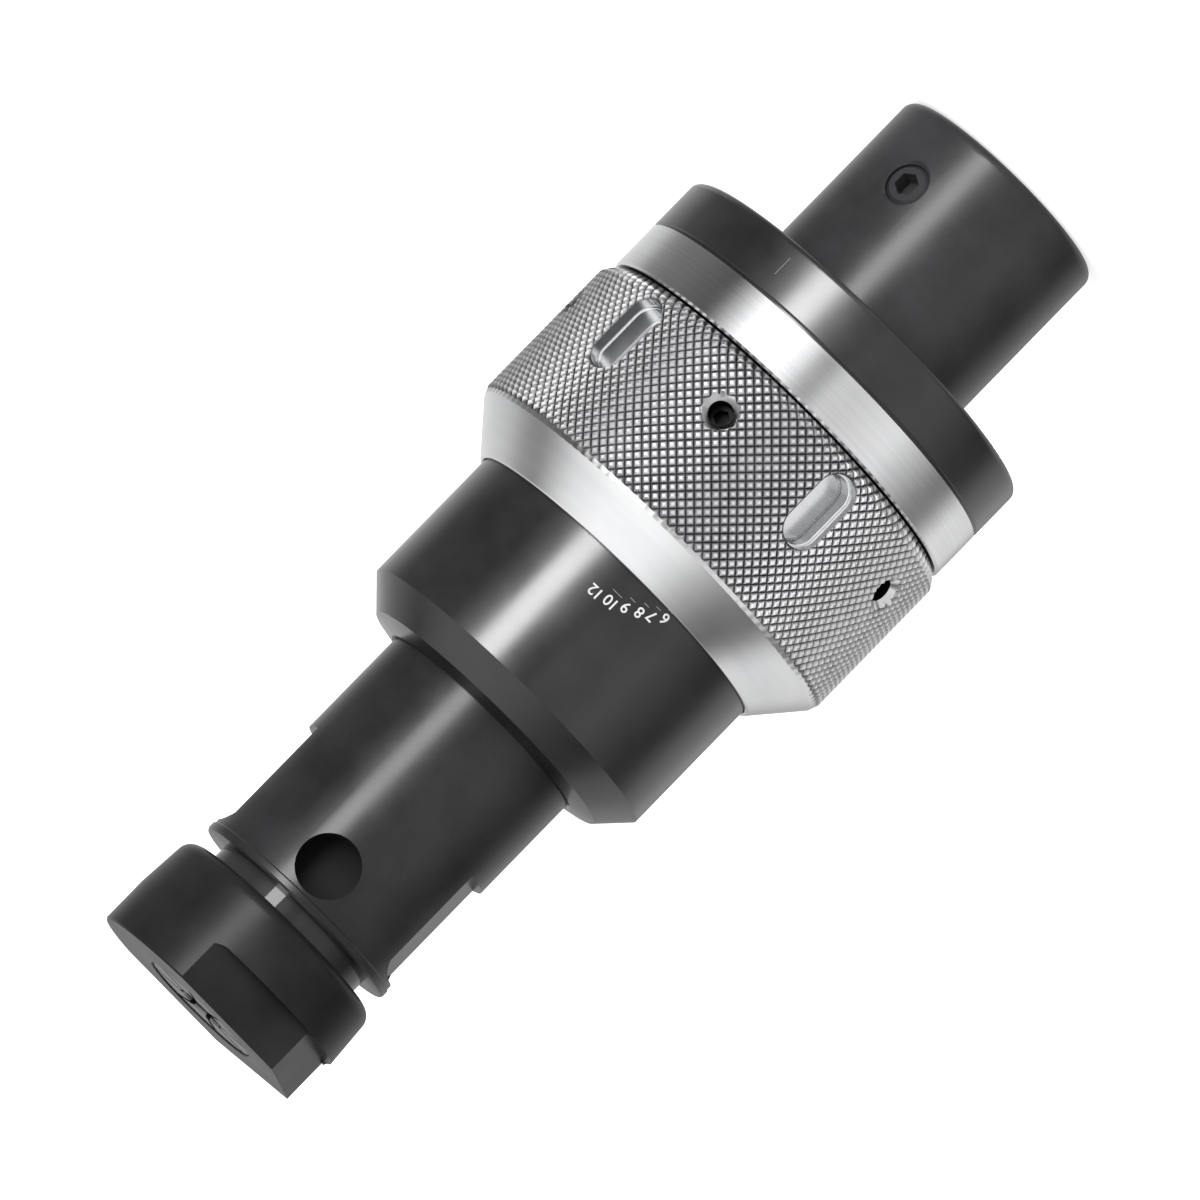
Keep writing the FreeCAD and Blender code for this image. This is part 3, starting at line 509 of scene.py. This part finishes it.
class Nodes:
    """A small helper for wiring shader nodes."""

    def __init__(self, name):
        self.material = bpy.data.materials.new(name)
        self.material.use_nodes = True
        self.tree = self.material.node_tree
        self.shader = self.tree.nodes["Principled BSDF"]

    def add(self, kind, **settings):
        node = self.tree.nodes.new(kind)
        for key, value in settings.items():
            setattr(node, key, value)
        return node

    def link(self, source, target):
        self.tree.links.new(source, target)

    def feed(self, name, source):
        """Drives one of the shader's own inputs."""
        self.link(source, self.shader.inputs[name])

    def set(self, **values):
        """Constant values of the shader's own inputs, with _ for a space in the name."""
        for name, value in values.items():
            self.shader.inputs[name.replace("_", " ")].default_value = value

    def math(self, operation, first, second=None):
        node = self.add("ShaderNodeMath", operation=operation)
        for index, value in enumerate((first, second)):
            if value is None:
                continue
            if isinstance(value, (int, float)):
                node.inputs[index].default_value = value
            else:
                self.link(value, node.inputs[index])
        return node.outputs[0]

    def noise(self, vector, scale, detail=4.0, roughness=0.55):
        node = self.add("ShaderNodeTexNoise")
        node.inputs["Scale"].default_value = scale
        node.inputs["Detail"].default_value = detail
        node.inputs["Roughness"].default_value = roughness
        self.link(vector, node.inputs["Vector"])
        return node.outputs["Fac"]

    def ramp(self, value, stops):
        node = self.add("ShaderNodeValToRGB")
        fill_ramp(node, stops)
        self.link(value, node.inputs["Fac"])
        return node.outputs["Color"]

    def span(self, value, low, high, from_low=0.3, from_high=0.7):
        """Maps from_low to low and from_high to high. Noise lies mostly between 0.3 and 0.7."""
        node = self.add("ShaderNodeMapRange")
        node.inputs["From Min"].default_value = from_low
        node.inputs["From Max"].default_value = from_high
        node.inputs["To Min"].default_value = low
        node.inputs["To Max"].default_value = high
        self.link(value, node.inputs["Value"])
        return node.outputs["Result"]

    def uneven(self, cloud, roughness, finer=0.03, coarser=0.04):
        """A roughness that varies a little over the surface."""
        return self.span(cloud, roughness - finer, roughness + coarser)

    def position(self):
        return self.add("ShaderNodeTexCoord").outputs["Object"]

    def split(self, position):
        node = self.add("ShaderNodeSeparateXYZ")
        self.link(position, node.inputs[0])
        return node

    def radius(self, split):
        """Distance from the chuck's axis, from a node that splits the position."""
        square_x = self.math("MULTIPLY", split.outputs[0], split.outputs[0])
        square_y = self.math("MULTIPLY", split.outputs[1], split.outputs[1])
        return self.math("SQRT", self.math("ADD", square_x, square_y))

    def mix(self, factor, first, colour):
        """From the first colour, which is linked, to a constant one."""
        node = self.add("ShaderNodeMix", data_type="RGBA")
        self.link(factor, node.inputs["Factor"])
        start, end = [entry for entry in node.inputs if entry.type == "RGBA"]
        self.link(first, start)
        end.default_value = (*colour, 1.0)
        return [entry for entry in node.outputs if entry.type == "RGBA"][0]

    def lathe_lines(self, position, pitch):
        """Noise that changes mostly along the profile of a turned part, like fine tool marks."""
        split = self.split(position)
        along = self.math("ADD", self.radius(split), split.outputs[2])
        join = self.add("ShaderNodeCombineXYZ")
        self.link(self.math("MULTIPLY", along, 1.0 / pitch), join.inputs[2])
        self.link(self.math("MULTIPLY", split.outputs[0], LATHE_DRIFT), join.inputs[0])
        self.link(self.math("MULTIPLY", split.outputs[1], LATHE_DRIFT), join.inputs[1])
        return self.noise(join.outputs[0], 1.0, 3.0, 0.6)

    def bump(self, height, distance, strength):
        node = self.add("ShaderNodeBump")
        node.inputs["Strength"].default_value = strength
        node.inputs["Distance"].default_value = distance
        self.link(height, node.inputs["Height"])
        self.feed("Normal", node.outputs[0])


def black_oxide(name, roughness, ior, dark, light, hole=None, neck=None):
    """Blackened steel.

    A hole is a direction, a height and a radius, and gets painted shade inside: a darker, rougher patch
    for the shade in the recess. A neck is a radius, a lowest and a highest place, and is rubbed smoother
    and lighter.
    """
    made = Nodes(name)
    position = made.position()
    cloud = made.noise(position, OXIDE_CLOUD)
    lines = made.lathe_lines(position, OXIDE_PITCH)
    stops = [(0.34, (dark, dark, dark * 1.05)), (0.68, (light, light, light * 1.06))]
    colour = made.ramp(cloud, stops)
    gloss = made.uneven(cloud, roughness)
    if hole:
        # Painted shade: the pin hole's inside is darkened and made rougher.
        inside = hole_painted_shade_mask(made, position, *hole)
        colour = made.mix(inside, colour, HOLE_PAINTED_SHADE_COLOUR)
        gloss = made.math("MAXIMUM", gloss, made.math("MULTIPLY", inside, HOLE_ROUGHNESS))
    if neck:
        rubbed = neck_mask(made, position, *neck)
        colour = made.mix(rubbed, colour, NECK_COLOUR)
        gloss = made.math("SUBTRACT", gloss, made.math("MULTIPLY", rubbed, NECK_POLISH))
    made.feed("Base Color", colour)
    made.feed("Roughness", gloss)
    made.set(Metallic=0.0, IOR=ior)
    made.bump(lines, OXIDE_RELIEF, 0.35)
    return made.material


def neck_mask(made, position, radius, low, high):
    """1 on a turned neck between two heights, 0 on anything wider."""
    split = made.split(position)
    slim = made.math("LESS_THAN", made.radius(split), radius)
    above = made.math("GREATER_THAN", split.outputs[2], low)
    below = made.math("LESS_THAN", split.outputs[2], high)
    return made.math("MULTIPLY", slim, made.math("MULTIPLY", above, below))


def hole_painted_shade_mask(made, position, direction, height, radius):
    """Painted shade for a blind hole drilled towards the axis: 1 deep inside it, fading to 0 towards its
    mouth, and 0 on the surface round it.
    """
    split = made.split(position)
    across = made.math("SUBTRACT", made.math("MULTIPLY", split.outputs[0], direction.y),
                       made.math("MULTIPLY", split.outputs[1], direction.x))
    along = made.math("SUBTRACT", split.outputs[2], height)
    square = made.math("ADD", made.math("MULTIPLY", across, across), made.math("MULTIPLY", along, along))
    near = made.math("LESS_THAN", square, (radius + HOLE_MARGIN) ** 2)
    reach = made.math("ADD", made.math("MULTIPLY", split.outputs[0], direction.x),
                      made.math("MULTIPLY", split.outputs[1], direction.y))
    sunk = made.span(reach, 1.0, 0.0, radius * HOLE_FLOOR, radius * HOLE_MOUTH)
    return made.math("MULTIPLY", near, sunk)


def bright_steel(name, roughness=0.2, tone=0.72, relief=0.0000025):
    """Turned steel with fine tool marks."""
    made = Nodes(name)
    position = made.position()
    cloud = made.noise(position, STEEL_CLOUD)
    lines = made.lathe_lines(position, STEEL_PITCH)
    stops = [
        (0.3, (tone * 0.9, tone * 0.905, tone * 0.92)),
        (0.7, (tone, tone * 1.003, tone * 1.01)),
    ]
    made.feed("Base Color", made.ramp(lines, stops))
    made.feed("Roughness", made.uneven(cloud, roughness))
    made.set(Metallic=1.0)
    made.bump(lines, relief, 0.5)
    return made.material


def knurled_steel():
    """Bright steel with painted shade in the knurl: darker towards the roots of the valleys, where shade
    falls between the diamonds.
    """
    made = Nodes("knurled_steel")
    position = made.position()
    cloud = made.noise(position, KNURL_CLOUD, 4.0, 0.6)
    split = made.split(position)
    shoulder_end = (RING_BACK + RING_SHOULDER_LENGTH) * MM
    missing = made.span(split.outputs[2], RING_SHOULDER * MM, 0.0, RING_BACK * MM, shoulder_end)
    radius = made.math("ADD", made.radius(split), missing)
    # Painted shade: the colour darkens from the crests to near-black at the knurl's root. The shoulder
    # rows are measured as if at full height.
    depth = made.span(radius, 0.0, 1.0, KNURL_ROOT * MM, RING_RADIUS * MM)
    tone = made.math("ADD", depth, made.math("MULTIPLY", made.math("SUBTRACT", cloud, 0.5), 0.35))
    stops = [(0.05, (0.14, 0.14, 0.145)), (0.45, (0.55, 0.55, 0.56)), (0.85, (0.86, 0.86, 0.87))]
    made.feed("Base Color", made.ramp(tone, stops))
    made.feed("Roughness", made.span(cloud, 0.26, 0.36))
    made.set(Metallic=1.0)
    return made.material


def tinted(name, dark, light, metallic, roughness, scale=300.0, relief=0.000006):
    """A plain material between two colours."""
    made = Nodes(name)
    position = made.position()
    cloud = made.noise(position, scale, 5.0, 0.6)
    made.feed("Base Color", made.ramp(cloud, [(0.3, dark), (0.7, light)]))
    made.feed("Roughness", made.uneven(cloud, roughness, 0.05, 0.07))
    made.set(Metallic=metallic)
    made.bump(made.noise(position, scale * 8.0, 2.0), relief, 0.5)
    return made.material


def floor_material():
    made = Nodes("studio_floor")
    cloud = made.noise(made.position(), 3.0)
    tone = made.ramp(cloud, [(0.3, (0.9, 0.9, 0.9)), (0.7, (0.92, 0.92, 0.92))])
    made.feed("Base Color", tone)
    made.feed("Emission Color", tone)
    made.set(Roughness=0.9, Emission_Strength=0.75)
    return made.material


pin_hole = next(mount for mount in frame["record"]["mounts"] if mount["name"] == "barrel_pin_hole")
nut_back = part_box("collet_nut")[0].z
PIN_HOLE = (Vector(pin_hole["axis"]).normalized(), pin_hole["pos_m"][2], pin_hole["dims"]["r_mm"] * MM)
BARREL_NECK = (13.2 * MM, nut_back - 2.45 * MM, nut_back + 1.0 * MM)

LOOKS = {
    "black_oxide": black_oxide("black_oxide", 0.27, ior=1.3, dark=0.012, light=0.02),
    "ground_steel": bright_steel("ground_steel"),
    "knurled_steel": knurled_steel(),
    "bearing_steel": bright_steel("bearing_steel", roughness=0.12, tone=0.74, relief=0.000001),
    "collet_steel": bright_steel("collet_steel", roughness=0.36, tone=0.17),
    "spring_steel": tinted("spring_steel", (0.15, 0.145, 0.14), (0.24, 0.23, 0.22), 1.0, 0.35),
    "bronze": tinted("bronze", (0.42, 0.25, 0.1), (0.58, 0.37, 0.17), 1.0, 0.4, 900.0),
    "seal_rubber": tinted("seal_rubber", (0.012, 0.012, 0.012), (0.022, 0.022, 0.022), 0.0, 0.6, 600.0),
    "marking": tinted("marking", (0.66, 0.67, 0.68), (0.8, 0.81, 0.82), 0.0, 0.55, 1500.0, 0.000002),
}
NODE_LOOKS = {
    "scale_sleeve": black_oxide("black_oxide_polished", 0.21, ior=1.5, dark=0.005, light=0.01),
    "drive_flange": black_oxide("black_oxide_ground", 0.23, ior=1.52, dark=0.005, light=0.01),
    "collet_nut": black_oxide("black_oxide_nut", 0.31, ior=1.19, dark=0.006, light=0.011),
    "collet_barrel": black_oxide("black_oxide_barrel", 0.26, ior=1.3, dark=0.007, light=0.013,
                                 hole=PIN_HOLE, neck=BARREL_NECK),
    # The lock screws are black oxide, made darker and rougher as painted shade in their holes. This
    # near-black also paints shade on the walls of the ring's screw holes.
    "ring_lock_screws": black_oxide("black_oxide_painted_hole_shade", 0.6, ior=1.25, dark=0.002, light=0.005),
}
WORN_MARKING = tinted("marking_worn", (0.2, 0.2, 0.2), (0.34, 0.34, 0.35), 0.0, 0.5, 1500.0, 0.000002)


def dress(piece, slot, look=None):
    """Gives a new piece the material of its slot."""
    piece.data.materials.clear()
    piece.data.materials.append(look or LOOKS[slot])


def dress_cad():
    """Gives every CAD node its material."""
    for name, node in nodes.items():
        if not node.material_slots:
            node.data.materials.append(None)
        for place in node.material_slots:
            place.material = NODE_LOOKS.get(name) or LOOKS[slot_of[name]]


# ---------------------------------------------------------------- new pieces
def ring_finish(centre):
    """0 for the knurl, 1 for the smooth faces and 2 for the walls of the screw holes, which get painted
    shade in near-black.
    """
    radius = math.hypot(centre.x, centre.y)
    turn = math.degrees(math.atan2(centre.y, centre.x)) - POCKET_ANGLE - POCKET_PITCH / 2.0
    turn = (turn + POCKET_PITCH / 2.0) % POCKET_PITCH - POCKET_PITCH / 2.0
    aside = math.hypot(radius * math.radians(turn), centre.z - POCKET_HEIGHT)
    above_flare = radius - RING_RADIUS + SCREW_FLARE_DEPTH
    widening = (SCREW_FLARE - SCREW_HOLE) / (SCREW_FLARE_DEPTH + SCREW_FLARE_OVERCUT)
    clear_of_bore = radius > RING_BORE + 2.0 * FINISH_MARGIN
    if above_flare < 0.0 and aside < SCREW_HOLE + FINISH_MARGIN and clear_of_bore:
        return 2
    if above_flare > 0.0 and aside < SCREW_HOLE + above_flare * widening + FLARE_MARGIN:
        return 1
    if centre.z < KNURL_FRONT and radius > ring_radius(centre.z) - KNURL_DEPTH - FINISH_MARGIN:
        return 0
    return 1


def add_ring():
    ring = new_object("knurled_ring", knurled_blank())
    cut(ring, ring_cutters())
    smooth_by_angle(ring.data, RING_SMOOTH_ANGLE)
    dress(ring, "knurled_steel")
    ring.data.materials.append(LOOKS["ground_steel"])
    # Painted shade: the walls of the screw holes take the screws' near-black finish.
    ring.data.materials.append(NODE_LOOKS["ring_lock_screws"])
    for polygon in ring.data.polygons:
        polygon.material_index = ring_finish(polygon.center / MM)
    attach(ring, "adjusting_ring")
    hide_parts("adjusting_ring")


def add_springs():
    """The inner springs again, copied in place from their CAD nodes, which are then hidden. Each row also
    names the two bodies that the spring pushes apart; the code does not use them.
    """
    springs = (("disc_springs", "torque_slider", "drive_body"),
               ("tension_spring", "barrel", "driven_hub"),
               ("compression_spring", "driven_hub", "barrel"))
    for name, behind, ahead in springs:
        mesh = nodes[name].data.copy()
        mesh.transform(nodes[name].matrix_world)
        spring = new_object("working_" + name, mesh)
        dress(spring, slot_of[name])
        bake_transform(spring)
        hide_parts(name)


def add_mark(name, outline, radius, angle, height, look=None):
    """A raised mark that stays with the drive body."""
    mark = wrapped(name, outline, radius, angle, height)
    dress(mark, "marking", look)
    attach(mark, "drive_body")


def add_marks():
    for text, turn, rise, tick, length in SCALE:
        angle = SCALE_ZERO - turn
        add_mark("numeral_" + text, numeral(text), SLEEVE_RADIUS, angle, RING_FRONT + rise)
        if tick:
            height = RING_FRONT + tick - TICK_SET_BACK
            add_mark("tick_" + text, bar(length, TICK_WIDTH), SLEEVE_RADIUS, angle, height, WORN_MARKING)
    line = bar(INDEX_WIDTH, INDEX_LENGTH)
    add_mark("index_line", line, FLANGE_RADIUS, INDEX_ANGLE, INDEX_HEIGHT, WORN_MARKING)


# ---------------------------------------------------------------- camera, floor and light
def add_camera():
    data = bpy.data.cameras.new("camera")
    data.lens = CAMERA_LENS
    data.sensor_width = CAMERA_SENSOR
    data.clip_start = 0.1
    data.clip_end = 50.0
    camera = new_object("camera", data)
    forward = Vector((0.0, math.cos(CAMERA_ELEVATION), -math.sin(CAMERA_ELEVATION)))
    side = Vector((1.0, 0.0, 0.0))
    upright = side.cross(forward)
    across = -math.sin(CAMERA_TURN) * side - math.cos(CAMERA_TURN) * upright
    upwards = math.cos(CAMERA_TURN) * side - math.sin(CAMERA_TURN) * upright
    place = Matrix((across, upwards, -forward)).transposed().to_4x4()
    place.translation = CAMERA_TARGET - forward * CAMERA_DISTANCE
    camera.matrix_world = place
    bpy.context.scene.camera = camera


def add_floor():
    level = cad_low.z - FLOOR_GAP
    signs = ((-1, -1), (1, -1), (1, 1), (-1, 1))
    mesh = bpy.data.meshes.new("floor")
    mesh.from_pydata([(x * FLOOR_HALF, y * FLOOR_HALF, level) for x, y in signs], [], [(0, 1, 2, 3)])
    mesh.materials.append(floor_material())
    floor = new_object("floor", mesh)
    floor.visible_glossy = False
    floor.visible_shadow = False


def add_world():
    """A light tent: soft panels and gaps placed round the axis, plain white to the camera."""
    world = bpy.data.worlds.new("studio")
    bpy.context.scene.world = world
    world.use_nodes = True
    tree = world.node_tree
    tree.nodes.clear()
    link = tree.links.new

    def math_node(operation, first, second):
        node = tree.nodes.new("ShaderNodeMath")
        node.operation = operation
        for socket, value in zip(node.inputs, (first, second)):
            if isinstance(value, float):
                socket.default_value = value
            else:
                link(value, socket)
        return node.outputs[0]

    def span_node(value, low, high, to_low=0.0, to_high=1.0):
        node = tree.nodes.new("ShaderNodeMapRange")
        for socket, number in zip(node.inputs[1:5], (low, high, to_low, to_high)):
            socket.default_value = number
        link(value, node.inputs["Value"])
        return node.outputs["Result"]

    def level_node(value, levels, low, high):
        node = tree.nodes.new("ShaderNodeValToRGB")
        fill_ramp(node, [((at - low) / (high - low), (level, level, level)) for at, level in levels])
        link(span_node(value, low, high), node.inputs["Fac"])
        return node.outputs["Color"]

    split = tree.nodes.new("ShaderNodeSeparateXYZ")
    link(tree.nodes.new("ShaderNodeTexCoord").outputs["Generated"], split.inputs[0])
    across, towards, upwards = split.outputs
    turn = math_node("ARCTAN2", math_node("MULTIPLY", across, -1.0), math_node("MULTIPLY", towards, -1.0))
    tent = level_node(math_node("MULTIPLY", turn, 180.0 / math.pi), TENT, -180.0, 180.0)
    above = level_node(across, OVERHEAD, -1.0, 1.0)
    blend = tree.nodes.new("ShaderNodeMixRGB")
    link(span_node(upwards, 0.69, 0.83), blend.inputs[0])
    link(tent, blend.inputs[1])
    link(above, blend.inputs[2])
    tent_light = tree.nodes.new("ShaderNodeBackground")
    link(blend.outputs[0], tent_light.inputs["Color"])
    link(span_node(upwards, -0.45, -0.22, BELOW, 1.0), tent_light.inputs["Strength"])
    white = tree.nodes.new("ShaderNodeBackground")
    white.inputs["Color"].default_value = (1.0, 1.0, 1.0, 1.0)
    mix = tree.nodes.new("ShaderNodeMixShader")
    link(tree.nodes.new("ShaderNodeLightPath").outputs["Is Camera Ray"], mix.inputs[0])
    link(tent_light.outputs[0], mix.inputs[1])
    link(white.outputs[0], mix.inputs[2])
    output = tree.nodes.new("ShaderNodeOutputWorld")
    link(mix.outputs[0], output.inputs["Surface"])


def add_key():
    """A tall soft strip beside the camera. It lights the black pieces only, as a flag would arrange."""
    data = bpy.data.lights.new("key_strip", "AREA")
    data.shape = "RECTANGLE"
    data.size = KEY_WIDTH
    data.size_y = KEY_LENGTH
    data.energy = KEY_POWER
    key = new_object("key_strip", data)
    inwards = Vector((math.sin(KEY_ANGLE), math.cos(KEY_ANGLE), 0.0))
    key.matrix_world = inwards.to_track_quat("-Z", "Y").to_matrix().to_4x4()
    key.location = Vector((0.0, 0.0, KEY_HEIGHT)) - inwards * KEY_DISTANCE
    key.visible_camera = False
    lit = bpy.data.collections.new("key_strip_lit")
    for name, node in nodes.items():
        if slot_of[name] == "black_oxide":
            lit.objects.link(node)
    key.light_linking.receiver_collection = lit


def main():
    bpy.context.scene.view_settings.view_transform = "Standard"
    dress_cad()
    add_ring()
    add_springs()
    add_marks()
    add_camera()
    add_floor()
    add_world()
    add_key()


main()
